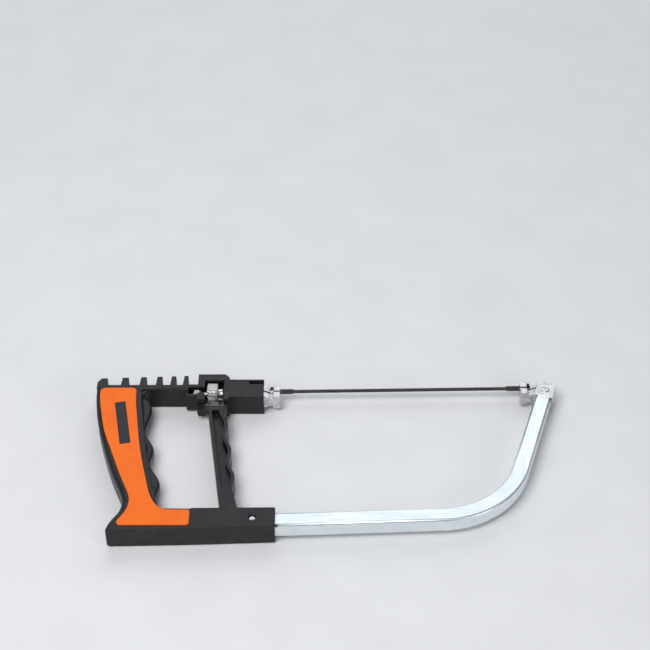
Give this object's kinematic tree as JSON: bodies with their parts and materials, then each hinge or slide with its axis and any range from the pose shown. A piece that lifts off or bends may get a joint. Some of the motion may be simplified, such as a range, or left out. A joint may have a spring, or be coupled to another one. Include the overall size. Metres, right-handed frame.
{
  "type": "hacksaw",
  "caption": "Small frame saw with a cast D-shaped handle, a bent square bow, a pinned blade and a knurled nut that tensions it.",
  "frame": {"origin": "centre of the bounding box's underside: the saw lies on its side, on the lower grip inlay", "axes": "+X along the blade from the handle to the front, +Y in the saw's plane from the bow to the blade, +Z across the saw's thickness"},
  "size_m": [0.3414, 0.151, 0.0196],
  "materials": {
    "body_black": "satin black coating on a die casting",
    "inlay_orange": "satin moulded plastic",
    "nameplate": "smooth dark plate without text",
    "bow_steel": "bright plated steel",
    "holder_nickel": "nickel-plated casting",
    "nut_nickel": "nickel-plated, diamond knurl",
    "fastener_steel": "zinc-plated steel",
    "blade_steel": "blued carbon steel"
  },
  "bodies": {
    "frame": {"handle_frame": "body_black", "grip_inlay_front": "inlay_orange", "grip_inlay_back": "inlay_orange", "nameplate_front": "nameplate", "nameplate_back": "nameplate", "inlay_nut": "fastener_steel", "inlay_screw": "fastener_steel", "bow": "bow_steel", "bow_pin": "fastener_steel", "front_holder": "holder_nickel", "front_rivet": "fastener_steel", "thrust_washer": "fastener_steel"},
    "nut": {"knurled_nut": "nut_nickel"},
    "slide": {"rear_holder": "holder_nickel", "tension_rod": "fastener_steel", "rod_pin": "fastener_steel", "rod_end_clip": "fastener_steel"},
    "blade": {"blade": "blade_steel", "blade_pin_rear": "blade_steel", "blade_pin_front": "blade_steel"}
  },
  "joints": [
    {"name": "nut_spin", "type": "hinge", "parent": "frame", "child": "nut", "pos_m": [-0.08506, 0.06335, 0.0098], "axis": [-1, 0, 0], "range_deg": [0, 1350]},
    {"name": "tension_slide", "type": "slide", "parent": "frame", "child": "slide", "axis": [1, 0, 0], "range_m": [0, 0.003]},
    {"name": "blade_lift", "type": "slide", "parent": "slide", "child": "blade", "axis": [0, 1, 0], "range_m": [0, 0.016]}
  ],
  "couplings": [
    {"joint": "tension_slide", "follows": "nut_spin", "m_per_rad": 0.0001273}
  ]
}
